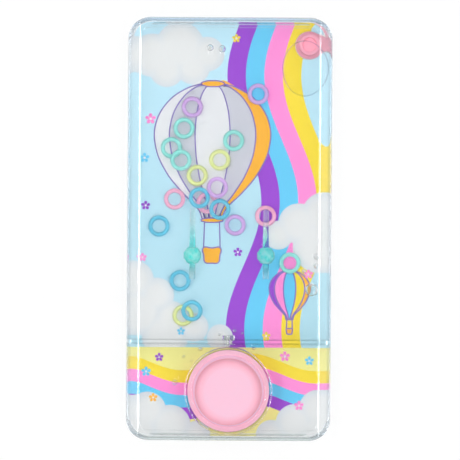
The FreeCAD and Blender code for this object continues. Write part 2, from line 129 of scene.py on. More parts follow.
class WaterGameColours(bpy.types.PropertyGroup):
    """Colours of the finishes and of the print."""
    clear: colour("Clear plastic", "#FEFEFE", "Tint of the case")
    # Painted tones of the thick clear walls near the outline: the print's colours that they show
    # by refraction, sky blue at the top end and pale at the foot, and a grey-blue painted shade
    # at the sides
    clear_side: colour("Clear walls, sides", "#CCD2DA", "Thick walls along the sides")
    clear_top: colour("Clear walls, top", "#DCEAF4", "Thick walls, with the sky's colour in them")
    clear_foot: colour("Clear walls, foot", "#E4EAEA", "Thick walls at the button's end")
    clear_shade: colour("Clear shade", "#F0F2F2", "What each clear face leaves of a lamp's light")
    water: colour("Water", "#FEFEFE", "Tint of the water")
    # Painted shade: the tint on the large bubble's rim faces draws the dark outline that its
    # curved edge makes by bending the light
    meniscus: colour("Meniscus", "#B4C0E0", "Fine line round the large bubble")
    rubber_shade: colour("Rubber shade", "#F8E4E8", "What each rubber face leaves of the light")
    button: colour("Button", "#FFCADF", "Soft button, thin middle")
    # Partly painted shade: the rim's deeper pink stands for shade on the button's rounded edge,
    # and partly for the thicker rubber there
    button_rim: colour("Button rim", "#FFB4C8", "Soft button, thick rim")
    # Painted light: the side wall's lighter pink lifts the shade in the groove round the button
    button_wall_painted_light: colour("Button wall", "#FFC2DC", "Soft button, flexing side wall")
    button_flange: colour("Button flange", "#F8BED2", "Soft button, under the clear ring")
    plug: colour("Plug", "#F7A9BE", "Filler plug")
    peg: colour("Peg", "#74F2EA", "Pegs' balls")
    spike: colour("Spike", "#EAF6F5", "Pegs' spikes, with the ball's dye thinned out")
    ring_purple: colour("Purple ring", "#DCB8EE", "Purple rings")
    ring_teal: colour("Teal ring", "#A2EEE8", "Teal rings")
    ring_yellow: colour("Yellow ring", "#EDF4AE", "Yellow rings")
    ring_pink: colour("Pink ring", "#FFC0DC", "Pink rings")
    ring_blue: colour("Blue ring", "#6CD2EC", "Blue rings")
    sky: colour("Sky", "#C3E6F5", "Upper ground of the picture")
    haze: colour("Haze", "#B6DCEA", "Sky near the cross wall")
    meadow: colour("Meadow", "#F2EA96", "Ground round the button")
    cloud: colour("Cloud", "#E6E5E6", "Clouds")
    cloud_shade: colour("Cloud shade", "#D6DBE2", "Inner edge of the clouds")
    yellow: colour("Yellow ink", "#F8DC4C", "First band of the ribbons")
    pink: colour("Pink ink", "#FF96D8", "Second band of the ribbons")
    blue: colour("Blue ink", "#70CBF2", "Third band of the ribbons")
    purple: colour("Purple ink", "#A055D2", "Fourth band of the ribbons")
    lilac: colour("Lilac ink", "#8D7CC0", "Outlines")
    orange: colour("Orange ink", "#FDB94A", "Warm parts of the balloons")
    pearl: colour("Pearl ink", "#E9E8EC", "Pale panels of the balloons")
    pearl_shade: colour("Pearl shade", "#CFCED9", "Shaded panels of the balloons")


def sizes():
    """The scene's sizes."""
    return bpy.context.scene.water_game_sizes


def colours():
    """The scene's colours."""
    return bpy.context.scene.water_game_colours


# Modelling helpers

def deselect():
    """Leave nothing selected and no mode active."""
    if bpy.context.object and bpy.context.object.mode != "OBJECT":
        bpy.ops.object.mode_set(mode="OBJECT")
    bpy.ops.object.select_all(action="DESELECT")


def take(name):
    """Name the new active object and put its place into its mesh."""
    obj = bpy.context.object
    obj.name = name
    obj.data.name = name
    bpy.ops.object.transform_apply(location=True, rotation=True, scale=True)
    return obj


def pick(obj):
    """Leave one object alone selected and active."""
    deselect()
    obj.select_set(True)
    bpy.context.view_layer.objects.active = obj


def edit(obj):
    """Enter edit mode on one object alone."""
    pick(obj)
    bpy.ops.object.mode_set(mode="EDIT")


def finish_edit():
    """Leave edit mode."""
    bpy.ops.object.mode_set(mode="OBJECT")


def choose(obj, kind, test):
    """In edit mode, select the corners or edges that pass a test."""
    bpy.ops.mesh.select_mode(type=kind)
    bpy.ops.mesh.select_all(action="DESELECT")
    mesh = bmesh.from_edit_mesh(obj.data)
    for element in mesh.verts if kind == "VERT" else mesh.edges:
        if test(element):
            element.select_set(True)
    mesh.select_flush_mode()
    bmesh.update_edit_mesh(obj.data)


def modify(obj, kind, **settings):
    """Add a modifier with its settings and apply it."""
    pick(obj)
    modifier = obj.modifiers.new(kind, kind)
    for key, value in settings.items():
        setattr(modifier, key, value)
    bpy.ops.object.modifier_apply(modifier=modifier.name)


def merge(obj, others):
    """Join other objects into one without cutting them."""
    pick(obj)
    for other in others:
        other.select_set(True)
    bpy.ops.object.join()


def unite(obj, others):
    """Fuse closed meshes into one closed mesh."""
    for other in others:
        modify(obj, "BOOLEAN", operation="UNION", solver="EXACT", object=other)
        bpy.data.objects.remove(other)


def turned(name, centre, corners, steps=128):
    """A piece of revolution: the corners are radius, height and round, in metres, and the first
    and last may lie on the axis."""
    mesh = bpy.data.meshes.new(name)
    points = [(radius, 0.0, height) for radius, height, round_by in corners]
    closed = corners[0][0] > 0
    edges = [(i, i + 1) for i in range(len(points) - 1)] + [(len(points) - 1, 0)] * closed
    mesh.from_pydata(points, edges, [])
    obj = bpy.data.objects.new(name, mesh)
    bpy.context.collection.objects.link(obj)
    edit(obj)
    for radius, height, round_by in corners:
        if not round_by:
            continue
        corner = Vector((radius, 0.0, height))
        choose(obj, "VERT", lambda v: (v.co - corner).length < SAME_PLACE)
        bpy.ops.mesh.bevel(affect="VERTICES", offset=round_by, segments=8, profile=0.5)
    bpy.ops.mesh.select_mode(type="VERT")
    bpy.ops.mesh.select_all(action="SELECT")
    bpy.ops.mesh.spin(steps=steps, angle=2 * math.pi, center=(0, 0, 0), axis=(0, 0, 1))
    bpy.ops.mesh.select_all(action="SELECT")
    bpy.ops.mesh.remove_doubles(threshold=2 * SAME_PLACE)
    bpy.ops.mesh.normals_make_consistent(inside=False)
    finish_edit()
    obj.location = centre
    bpy.ops.object.transform_apply(location=True, rotation=False, scale=False)
    bpy.ops.object.shade_smooth_by_angle(angle=SMOOTH_ANGLE)
    return obj


def cylinder(name, vertices, radius, depth, centre, lean=0.0):
    """A cylinder, leaned about the X axis."""
    bpy.ops.mesh.primitive_cylinder_add(vertices=vertices, radius=radius, depth=depth,
                                        location=centre, rotation=(lean, 0, 0))
    return take(name)


def finished(obj, material, body, slot, *nodes):
    """Give a piece its finish, the body that it rides on if that is one alone, and the nodes that
    it stands for."""
    if material:
        obj.data.materials.clear()
        obj.data.materials.append(material)
    if body:
        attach(obj, body)
    if nodes:
        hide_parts(*nodes)


# Material helpers

def start_material(name):
    """An empty node material and its tree."""
    material = bpy.data.materials.new(name)
    material.use_nodes = True
    material.node_tree.nodes.clear()
    return material, material.node_tree


def add_node(tree, kind, settings=None, links=None):
    """Add a node with its settings and links; an input has a name or a number, and takes a value
    or a socket."""
    node = tree.nodes.new(kind)
    for key, value in {**(settings or {}), **(links or {})}.items():
        if isinstance(value, bpy.types.NodeSocket):
            tree.links.new(value, node.inputs[key])
        elif isinstance(key, int) or key in node.inputs:
            node.inputs[key].default_value = value
        else:
            setattr(node, key, value)
    return node


def maths(tree, operation, *values, use_clamp=False):
    """The result of a Math node on numbers or sockets."""
    return add_node(tree, "ShaderNodeMath", {"operation": operation, "use_clamp": use_clamp,
                                             **dict(enumerate(values))}).outputs[0]


def vector_maths(tree, operation, *values):
    """The vector or number that a Vector Math node makes of vectors or sockets."""
    node = add_node(tree, "ShaderNodeVectorMath",
                    {"operation": operation, **dict(enumerate(values))})
    return node.outputs["Value" if operation in ("DISTANCE", "LENGTH") else "Vector"]


def mixed_tone(tree, share, first, second):
    """A colour between two, by a share."""
    return add_node(tree, "ShaderNodeMix",
                    {"data_type": "RGBA", 0: share, 6: first, 7: second}).outputs[2]


def mixed_surface(tree, share, first, second):
    """A surface between two, by a share."""
    return add_node(tree, "ShaderNodeMixShader", {0: share, 1: first, 2: second}).outputs[0]


def ranged(tree, value, start, end, low=0.0, high=1.0, **settings):
    """Where a value lies from start to end, told between low and high."""
    settings.update({"From Min": start, "From Max": end, "To Min": low, "To Max": high})
    return add_node(tree, "ShaderNodeMapRange", settings, {"Value": value}).outputs["Result"]


def axis_parts(tree, vector):
    """A vector's parts along X, Y and Z."""
    return add_node(tree, "ShaderNodeSeparateXYZ", {0: vector}).outputs


def object_place(tree):
    """The place on the object."""
    return add_node(tree, "ShaderNodeTexCoord").outputs["Object"]


def ramp(tree, share, stops):
    """A colour from a ramp of positions and colours."""
    node = add_node(tree, "ShaderNodeValToRGB", {"Fac": share})
    while len(node.color_ramp.elements) < len(stops):
        node.color_ramp.elements.new(0.5)
    for element, (position, tint) in zip(node.color_ramp.elements, stops):
        element.position = position
        element.color = tint
    return node.outputs["Color"]


def noise(tree, place, grain, detail):
    """Soft noise with grains of one width."""
    return add_node(tree, "ShaderNodeTexNoise", {"Scale": 1 / grain, "Detail": detail},
                    {"Vector": place}).outputs["Fac"]


def bumped(tree, height, strength, depth):
    """A normal that leans with a height."""
    return add_node(tree, "ShaderNodeBump", {"Strength": strength, "Distance": depth},
                    {"Height": height}).outputs[0]


def principled(tree, settings, links=None):
    """A Principled surface."""
    return add_node(tree, "ShaderNodeBsdfPrincipled", settings, links).outputs[0]


def output_surface(tree, surface):
    """Output a material's surface."""
    add_node(tree, "ShaderNodeOutputMaterial", {"Surface": surface})


def paler(tint, share):
    """A colour part of the way to white."""
    return tuple(c + (1 - c) * share for c in tint[:3]) + (1.0,)


# A ray goes straight on after more reflections or clear faces than these; one matt bounce counts
# as so many faces less
REFLECTIONS_KEPT, FACES_KEPT = 2.5, 6.5
MATT_BOUNCE = -20.0


def lets_lamps_through(tree, surface, shade, thick_walled=True):
    """Output a clear surface whose shadow rays pass straight, so that lamps light what it holds,
    less the part in shade. A thick wall also lets a ray go straight on that has bounced on and
    on inside it, or that has crossed many clear faces and met nothing matt."""
    path = add_node(tree, "ShaderNodeLightPath").outputs
    straight = add_node(tree, "ShaderNodeBsdfTransparent", {"Color": shade}).outputs[0]
    if thick_walled:
        trapped = maths(tree, "GREATER_THAN", path["Glossy Depth"], REFLECTIONS_KEPT)
        crossed = maths(tree, "MULTIPLY_ADD", path["Diffuse Depth"], MATT_BOUNCE,
                        path["Transmission Depth"])
        crossed = maths(tree, "GREATER_THAN", crossed, FACES_KEPT)
        released = maths(tree, "MAXIMUM", trapped, crossed)
        surface = mixed_surface(tree, released, surface, straight)
    output_surface(tree, mixed_surface(tree, path["Is Shadow Ray"], surface, straight))


# How deep the walls' painted tone reaches in from the outline: the print's colours that they show
# by refraction, and a painted shade
PAINTED_WALL_FROM, PAINTED_WALL_FULL = 1.9 * MM, 0.9 * MM


def moulded_clear_plastic(name):
    """Polystyrene, injection moulded and polished: clear, with sharp reflections and the slight
    waviness that the melt leaves. Near the outline the thick walls get a painted tone for what
    they
    show by refraction and for shade: the sky's blue at the top end, a pale tone at the foot, and
    a grey-blue painted shade along the sides."""
    tints = colours()
    material, tree = start_material(name)
    place = object_place(tree)
    bump = bumped(tree, noise(tree, place, 14 * MM, 1.0), 0.15, 0.02 * MM)
    corner = sizes().cavity_corner + sizes().wall_thickness
    beyond = vector_maths(tree, "SUBTRACT", vector_maths(tree, "ABSOLUTE", place),
                          (CASE_HIGH.x - corner, CASE_HIGH.y - corner, 1.0))
    outward = vector_maths(tree, "MAXIMUM", beyond, (0.0, 0.0, 0.0))
    edge = ranged(tree, vector_maths(tree, "LENGTH", outward), corner - PAINTED_WALL_FROM,
                  corner - PAINTED_WALL_FULL)
    along = ranged(tree, axis_parts(tree, place)["Y"], CASE_LOW.y, CASE_HIGH.y)
    aside = maths(tree, "DIVIDE", axis_parts(tree, outward)["X"], corner)
    # Painted: the walls' tone near the outline, for the print they refract and a grey-blue shade
    # at the sides
    painted_wall_tone = mixed_tone(tree, along, tints.clear_foot, tints.clear_top)
    painted_wall_tone = mixed_tone(tree, aside, painted_wall_tone, tints.clear_side)
    tone = mixed_tone(tree, edge, tints.clear, painted_wall_tone)
    glass = principled(tree, {"Roughness": 0.02, "IOR": 1.5, "Transmission Weight": 1.0},
                       {"Base Color": tone, "Normal": bump})
    lets_lamps_through(tree, glass, tints.clear_shade)
    return material


def clean_water(name, tint, index, thinness=0.0):
    """Water: clear, with the weaker reflections of its lower index. A thin film of it lets most
    of the light pass straight."""
    material, tree = start_material(name)
    body = principled(tree, {"Base Color": tint, "Roughness": 0.0, "IOR": index,
                             "Transmission Weight": 1.0})
    if thinness:
        film = add_node(tree, "ShaderNodeBsdfTransparent", {"Color": WHITE}).outputs[0]
        body = mixed_surface(tree, thinness, body, film)
    lets_lamps_through(tree, body, WHITE)
    return material


# Strength of the painted glow on a band of the button's side wall, standing in for light through
# the thin rubber
PAINTED_GLOW = 0.3


def soft_rubber(name, stops, centre, radius, painted_glow_band=None):
    """Silicone rubber, moulded: soft and matt, deeper in colour at the rim, partly for the
    thicker rubber and partly as painted shade of the rounded edge, and with a painted glow on a
    band of the side wall that stands in for light coming through the thin rubber. The stops are
    shares of the radius and colours, and the painted glow band is two shares of the radius."""
    material, tree = start_material(name)
    place = object_place(tree)
    flat = vector_maths(tree, "MULTIPLY", place, (1.0, 1.0, 0.0))
    reach = vector_maths(tree, "DISTANCE", flat, (centre.x, centre.y, 0.0))
    share = maths(tree, "DIVIDE", reach, radius)
    tone = ramp(tree, share, stops)
    links = {"Base Color": tone,
             "Normal": bumped(tree, noise(tree, place, 0.5 * MM, 2.0), 0.25, 0.01 * MM)}
    # Painted glow: the band of the side wall glows in its own colour, though it is no lamp
    if painted_glow_band:
        start, end = painted_glow_band
        inside = maths(tree, "COMPARE", share, (start + end) / 2, (end - start) / 2)
        links["Emission Color"] = tone
        links["Emission Strength"] = maths(tree, "MULTIPLY", inside, PAINTED_GLOW)
    surface = principled(tree, {"Roughness": 0.55, "IOR": 1.41, "Subsurface Weight": 0.4,
                                "Subsurface Radius": (1.0, 0.55, 0.6),
                                "Subsurface Scale": 2.0 * MM}, links)
    lets_lamps_through(tree, surface, colours().rubber_shade, thick_walled=False)
    return material


def moulded_ring_plastic(name, tint):
    """Polyethylene, moulded: a milky pastel with a waxy, blurred shine."""
    material, tree = start_material(name)
    milk = noise(tree, object_place(tree), 2.5 * MM, 2.0)
    tone = mixed_tone(tree, milk, tint, paler(tint, 0.15))
    surface = principled(tree, {"Roughness": 0.35, "IOR": 1.13, "Transmission Weight": 0.3,
                                "Subsurface Weight": 0.3, "Subsurface Radius": (1.0, 0.9, 0.9),
                                "Subsurface Scale": 0.6 * MM}, {"Base Color": tone})
    lets_lamps_through(tree, surface, paler(tint, 0.6), thick_walled=False)
    return material


def dyed_clear_plastic(name, tints, centre_y, clearness):
    """Polystyrene, dyed and moulded: clear teal in the thick ball, nearly colourless where it is
    thin, and with the low index of plastic against water. The tints are distances in millimetres
    along the case from the ball's middle, and colours."""
    material, tree = start_material(name)
    place = object_place(tree)
    # Painted sparkle: pale spots laid in Voronoi cells stand in for glints on the ball's facets
    facets = add_node(tree, "ShaderNodeTexVoronoi", {"Scale": 1 / (1.5 * MM)}, {"Vector": place})
    low, high = tints[0][0], tints[-1][0]
    along = ranged(tree, axis_parts(tree, place)["Y"], centre_y + low * MM, centre_y + high * MM)
    tone = ramp(tree, along, [((reach - low) / (high - low), tint) for reach, tint in tints])
    painted_sparkle = ranged(tree, facets.outputs["Distance"], 0.2, 0.9, 0.0, 0.45)
    tone = mixed_tone(tree, painted_sparkle, tone, linear("#F2FFFD"))
    glass = principled(tree, {"Roughness": 0.08, "IOR": 1.2, "Transmission Weight": clearness},
                       {"Base Color": tone})
    lets_lamps_through(tree, glass, linear("#F4FBFA"), thick_walled=False)
    return material


def satin_print(tree, tone):
    """Output ink with a satin shine."""
    output_surface(tree, principled(tree, {"Roughness": 0.4, "IOR": 1.08}, {"Base Color": tone}))


def printed_ink(name, tint):
    """Offset ink on film: flat colour with a fine mottle and a satin shine."""
    material, tree = start_material(name)
    mottle = noise(tree, object_place(tree), 3.0 * MM, 3.0)
    deep = tuple(c * 0.93 for c in tint[:3]) + (1.0,)
    satin_print(tree, mixed_tone(tree, mottle, tint, deep))
    return material


# The printed picture's ground, in millimetres from the middle of the case

SKY_TOP, SKY_FOOT = 70.0, -36.0
MEADOW_TOP = -41.0
RIBBON_BAND, LOWER_BAND = 6.4, 4.3
CLOUD_EDGE = 3.0
# The ribbons' waves: height, length, start and middle
CURL = (6.0, 88.0, 0.9, 5.0)
SWELL = (3.0, 46.0, 0.6, -46.0)
SKY_CLOUDS = [
    (-27.0, 60.0, 7.5), (-17.5, 63.0, 8.5), (-8.0, 60.5, 6.0), (-22.0, 55.0, 6.0),
    (-13.0, 56.0, 6.0),
    (24.0, 2.0, 7.0), (33.0, 5.0, 8.0), (17.0, -2.0, 5.0), (31.0, -6.0, 9.0),
    (-33.0, -18.0, 7.0), (-25.0, -23.0, 6.0), (-31.0, -29.0, 8.0), (-20.0, -31.0, 6.0),
    (-12.0, -34.0, 5.0), (-22.0, -37.0, 8.0), (-3.0, -37.5, 4.5),
]
MEADOW_CLOUDS = [
    (-28.0, -63.0, 6.5), (-20.0, -68.0, 7.0), (-31.0, -70.0, 7.0), (-11.0, -71.5, 5.0),
    (15.0, -71.5, 5.5), (23.0, -67.0, 6.5), (31.0, -62.0, 6.5), (31.0, -70.0, 7.0),
]


def distance_to_discs(tree, place, discs):
    """The distance in millimetres from a point to the edge of the nearest of several discs."""
    nearest = None
    for across, along, radius in discs:
        reach = vector_maths(tree, "DISTANCE", place, (across, along, 0.0))
        edge = maths(tree, "SUBTRACT", reach, radius)
        nearest = maths(tree, "MINIMUM", nearest, edge) if nearest else edge
    return nearest


def wave(tree, along, height, length_of_wave, start, middle):
    """A sine wave along one coordinate, round a middle value."""
    turn = maths(tree, "MULTIPLY_ADD", along, 2 * math.pi / length_of_wave, start)
    return maths(tree, "MULTIPLY_ADD", maths(tree, "SINE", turn), height, middle)


def banded(tree, ground, offset, band, tints):
    """Lay bands of equal width over a ground, by the distance from the first band's edge."""
    for index, tint in enumerate(tints):
        inside = maths(tree, "COMPARE", offset, (index + 0.5) * band, band / 2)
        ground = mixed_tone(tree, inside, ground, tint)
    return ground


def clouded(tree, ground, place, discs):
    """Lay clouds over a ground, a little darker along their edge."""
    nearest = distance_to_discs(tree, place, discs)
    depth = ranged(tree, nearest, -CLOUD_EDGE, 0.0)
    tone = mixed_tone(tree, depth, colours().cloud, colours().cloud_shade)
    return mixed_tone(tree, maths(tree, "LESS_THAN", nearest, 0.0), ground, tone)


def printed_film(name):
    """Polypropylene film, offset printed: sky, ribbons of colour, clouds and a meadow, with a
    satin shine."""
    tints = colours()
    inks = [tints.purple, tints.blue, tints.pink, tints.yellow]
    material, tree = start_material(name)
    place = vector_maths(tree, "MULTIPLY", object_place(tree), (1 / MM, 1 / MM, 0.0))
    parts = axis_parts(tree, place)
    fade = ranged(tree, parts["Y"], SKY_FOOT, SKY_TOP)
    curl = wave(tree, parts["Y"], *CURL)
    sky = banded(tree, mixed_tone(tree, fade, tints.haze, tints.sky),
                 maths(tree, "SUBTRACT", parts["X"], curl), RIBBON_BAND, inks)
    sky = clouded(tree, sky, place, SKY_CLOUDS)
    swell = wave(tree, parts["X"], *SWELL)
    meadow = banded(tree, tints.meadow, maths(tree, "SUBTRACT", swell, parts["Y"]), LOWER_BAND,
                    inks[::-1])
    meadow = clouded(tree, meadow, place, MEADOW_CLOUDS)
    below = maths(tree, "LESS_THAN", parts["Y"], MEADOW_TOP)
    satin_print(tree, mixed_tone(tree, below, sky, meadow))
    return material


# The printed picture's drawings, in millimetres; the sheet leaves room for the inks' levels

INK_ROOM = 0.1 * MM
INK_STEP = 0.004 * MM
BALLOON_OUTLINE_SHARES = [
    (0.0, 0.16), (0.08, 0.24), (0.2, 0.52), (0.36, 0.82), (0.54, 0.99), (0.7, 0.98),
    (0.85, 0.78), (0.95, 0.45), (0.99, 0.14),
]
GORE_SHARES = (-1.0, -0.74, -0.3, 0.3, 0.74, 1.0)


def ink_height(level):
    """The height of a level of ink."""
    return SHEET_HIGH.z - INK_ROOM + level * INK_STEP


def ink_curve(name, points, level, closed):
    """A flat curve through points in millimetres, at a level of ink."""
    curve = bpy.data.curves.new(name, "CURVE")
    curve.dimensions = "3D"
    curve.resolution_u = 6
    spline = curve.splines.new("BEZIER")
    spline.bezier_points.add(len(points) - 1)
    for point, (x, y) in zip(spline.bezier_points, points):
        point.co = (x * MM, y * MM, ink_height(level))
        point.handle_left_type = point.handle_right_type = "AUTO"
    spline.use_cyclic_u = closed
    obj = bpy.data.objects.new(name, curve)
    bpy.context.collection.objects.link(obj)
    return obj


def ink_mesh(obj, material):
    """Turn an ink's curve into a mesh that faces up."""
    pick(obj)
    bpy.ops.object.convert(target="MESH")
    edit(obj)
    bpy.ops.mesh.select_all(action="SELECT")
    bpy.ops.mesh.normals_make_consistent(inside=False)
    mesh = bmesh.from_edit_mesh(obj.data)
    if sum(face.normal.z for face in mesh.faces) < 0:
        bpy.ops.mesh.flip_normals()
    finish_edit()
    obj.data.materials.append(material)
    return obj


def ink_area(name, points, material, level):
    """A filled shape with a smooth edge."""
    obj = ink_curve(name, points, level, True)
    obj.data.dimensions = "2D"
    obj.data.fill_mode = "BOTH"
    obj.location.z = ink_height(level)
    ink_mesh(obj, material)
    bpy.ops.object.transform_apply(location=True, rotation=True, scale=True)
    return obj


def ink_line(name, points, material, level, closed=False):
    """A line of even width."""
    obj = ink_curve(name, points, level, closed)
    obj.data.twist_mode = "Z_UP"
    obj.data.extrude = sizes().outline / 2
    for point in obj.data.splines[0].bezier_points:
        point.tilt = math.pi / 2
    return ink_mesh(obj, material)


# The bands at a balloon's crown and mouth: height, half width and half depth
BALLOON_BANDS = ((0.985, 0.2, 0.022), (0.0, 0.19, 0.016))
BASKET_CORNERS = (
    (-1.0, 0.0), (-0.93, 0.5), (-0.75, 0.95), (0.0, 1.0), (0.75, 0.95), (0.93, 0.5), (1.0, 0.0),
    (0.0, 0.0),
)
BASKET_DEPTH, BASKET_HALF_WIDTH, BASKET_DROP = 0.11, 0.15, 0.2


def balloon(name, foot, height, half_width, fills, line_ink, level):
    """A hot-air balloon: gores of several inks, their outlines, and a basket on its lines."""
    foot_x, foot_y = foot
    made = []

    def area(part, points, fill, above):
        made.append(ink_area(f"{name}_{part}", points, fill, level + above))

    def line(part, points, above, closed=False):
        made.append(ink_line(f"{name}_{part}", points, line_ink, level + above, closed))

    seams = [[(foot_x + share * half_width * wide, foot_y + height * up)
              for up, wide in BALLOON_OUTLINE_SHARES] for share in GORE_SHARES]
    for index, (left, right) in enumerate(zip(seams, seams[1:])):
        area(f"gore_{index}", left + right[-2::-1], fills[index % len(fills)], 0)
    for index, seam in enumerate(seams):
        line(f"seam_{index}", seam, 2 + index * 0.4)
    for end, across, deep in BALLOON_BANDS:
        band = [(foot_x + half_width * across * math.cos(turn * math.pi / 4),
                 foot_y + height * (end + deep * math.sin(turn * math.pi / 4)))
                for turn in range(8)]
        area(f"band_{end}", band, fills[-1], 5)
        line(f"band_edge_{end}", band, 6, True)
    half = half_width * BASKET_HALF_WIDTH
    low = foot_y - height * BASKET_DROP
    corners = [(foot_x + half * across, low - height * BASKET_DEPTH * down)
               for across, down in BASKET_CORNERS]
    area("basket", corners, fills[-1], 1)
    line("basket_edge", corners, 2, True)
    for side in (-1, 1):
        rope = [(foot_x + side * half_width * 0.13, foot_y), (foot_x + side * half * 0.95, low)]
        line(f"rope_{side + 1}", rope, 2)
    return made


FLOWERS = [
    (-27.5, 38.0, 1.9, "pink"), (-29.5, 24.5, 1.7, "blue"), (2.0, 66.0, 1.5, "yellow"),
    (-29.0, 8.0, 1.6, "purple"), (-30.0, -10.0, 1.5, "pink"), (3.0, -8.0, 1.6, "purple"),
    (27.5, -15.5, 1.6, "pink"), (-24.0, -44.5, 1.5, "purple"), (-28.5, -49.5, 1.7, "blue"),
    (19.5, -44.0, 1.8, "pink"), (28.0, -45.5, 1.6, "blue"), (-16.5, -35.5, 1.4, "blue"),
    (13.0, -37.0, 1.5, "yellow"), (24.5, -61.0, 1.7, "pink"), (-26.0, -58.5, 1.5, "orange"),
]


def flower_points(across, along, radius):
    """The outline of a flower with five petals."""
    points = []
    for step in range(40):
        turn = math.pi * step / 20
        reach = radius * (0.42 + 0.58 * abs(math.cos(2.5 * turn)) ** 0.6)
        points.append((across + reach * math.sin(turn), along + reach * math.cos(turn)))
    return points


# The operators, one for each piece or group of like pieces

RESTING_LEVELS_MM = {"front_shell": (2.0, 3.0), "rear_shell": (), "button_bezel": (15.0,)}


def clear_copy(node, levels):
    """A copy of a clear solid whose resting faces reach a little into what they rest on: light
    would be lost between two clear faces in one plane."""
    source = NODES[node]
    obj = bpy.data.objects.new(f"clear_{node}", source.data.copy())
    obj.data.transform(source.matrix_world)
    bpy.context.collection.objects.link(obj)
    edit(obj)
    for level in levels:
        choose(obj, "VERT", lambda v: abs(v.co.z - level * MM) < NEARLY)
        bpy.ops.transform.translate(value=(0, 0, -sizes().overlap))
    finish_edit()
    return obj


class WATERGAME_OT_clear_case(bpy.types.Operator):
    """Copy and finish the clear shells and the clear ring round the button"""
    bl_idname = "watergame.clear_case"
    bl_label = "Clear case"

    def execute(self, context):
        plastic = moulded_clear_plastic("clear_polystyrene_moulded")
        for node, levels in RESTING_LEVELS_MM.items():
            finished(clear_copy(node, levels), plastic, "case", "clear_case", node)
        return {"FINISHED"}


def water_block(name, low_y, high_y, end):
    """One chamber's water, rounded as the clear walls round it; its end has rounded corners."""
    s = sizes()
    half_width = CASE_HIGH.x - s.wall_thickness + s.overlap
    low_z, high_z = s.floor_height - s.overlap, CASE_HIGH.z - s.window_thickness + s.overlap
    bpy.ops.mesh.primitive_cube_add(
        size=1, location=(0, (low_y + high_y) / 2, (low_z + high_z) / 2),
        scale=(2 * half_width, high_y - low_y, high_z - low_z))
    obj = take(name)

    def upright_at_end(edge):
        first, last = (v.co for v in edge.verts)
        return abs(first.z - last.z) > MM and abs(first.y - end) < NEARLY

    edit(obj)
    choose(obj, "EDGE", upright_at_end)
    bpy.ops.mesh.bevel(offset=s.cavity_corner, segments=14, profile=0.5)
    finish_edit()
    weights = obj.data.attributes.new("bevel_weight_edge", "FLOAT", "EDGE")
    for edge in obj.data.edges:
        first, last = (obj.data.vertices[i].co for i in edge.vertices)
        if min(first.z, last.z) < high_z - NEARLY:
            continue
        width = s.end_round + (s.shoulder - s.end_round) * abs((last - first).normalized().y)
        if max(first.y, last.y) < low_y + NEARLY or min(first.y, last.y) > high_y - NEARLY:
            width = s.end_round if abs(first.y - end) < NEARLY else 0.0
        weights.data[edge.index].value = width / s.shoulder
    modify(obj, "BEVEL", width=s.shoulder, segments=6, limit_method="WEIGHT",
           offset_type="OFFSET", use_clamp_overlap=False)
    return obj


# Air bubbles, in millimetres: the middle's place and the width
BUBBLES_MM = [
    (-6.9, 61.8, 11.9, 2.2), (-2.8, 61.4, 11.9, 2.4), (29.8, -9.2, 12.4, 2.0),
    (29.8, -12.3, 12.5, 2.0), (25.5, -14.2, 12.7, 1.4), (28.2, -20.6, 11.2, 4.4),
    (2.0, -34.6, 12.8, 1.1), (4.6, -35.4, 12.9, 0.8), (-3.2, -36.0, 12.9, 0.8),
]
CHAMBER_BUBBLES_MM = [
    (-9.6, -41.0, 12.8, 1.3), (-15.2, -43.6, 12.9, 1.0), (-18.2, -52.4, 12.4, 1.8),
    (8.6, -40.6, 12.8, 1.1), (-12.6, -45.0, 12.9, 0.8),
]


LARGE_BUBBLE = (25.4 * MM, 54.9 * MM)
LARGE_BUBBLE_DROP = 0.1 * MM
BUBBLE_FLATNESS = 0.55
PAINTED_RIM_FROM = 0.94
WALL_GAP = 1.5 * MM


def large_bubble(pocket, meniscus):
    """The large air bubble, flat under the window, with a painted dark line round its rim where
    the curved edge bends the light.
    """
    s = sizes()
    top = CASE_HIGH.z - s.window_thickness
    centre = Vector((*LARGE_BUBBLE, top - s.bubble_depth / 2 - LARGE_BUBBLE_DROP))
    bpy.ops.mesh.primitive_uv_sphere_add(segments=64, ring_count=32, location=centre)
    bubble = take("large_bubble")
    for vertex in bubble.data.vertices:
        reach = vertex.co - centre
        flattened = math.copysign(abs(reach.z) ** BUBBLE_FLATNESS, reach.z)
        vertex.co = centre + Vector((reach.x * s.bubble_width / 2, reach.y * s.bubble_length / 2,
                                     flattened * s.bubble_depth / 2))
    bubble.data.materials.append(pocket)
    bubble.data.materials.append(meniscus)
    # The rim faces carry the material of the painted dark outline
    for face in bubble.data.polygons:
        reach = face.center - centre
        share = 2 * math.hypot(reach.x / s.bubble_width, reach.y / s.bubble_length)
        face.material_index = int(share > PAINTED_RIM_FROM)
    return bubble


def fill(block, water, air, holes, places):
    """Make a block the water of its chamber, with its holes and small bubbles inside."""
    for index, (x, y, z, across) in enumerate(places):
        bpy.ops.mesh.primitive_uv_sphere_add(segments=48, ring_count=24, radius=across / 2 * MM,
                                             location=(x * MM, y * MM, z * MM))
        bubble = take(f"{block.name}_bubble_{index}")
        bubble.data.materials.append(air)
        holes.append(bubble)
    block.data.materials.append(water)
    for hole in holes:
        edit(hole)
        bpy.ops.mesh.select_all(action="SELECT")
        bpy.ops.mesh.flip_normals()
        finish_edit()
    merge(block, holes)
    bpy.ops.object.shade_smooth_by_angle(angle=SMOOTH_ANGLE)
    modify(block, "WEIGHTED_NORMAL", keep_sharp=True)
    finished(block, None, "case", "clear_case")
    block.visible_shadow = False


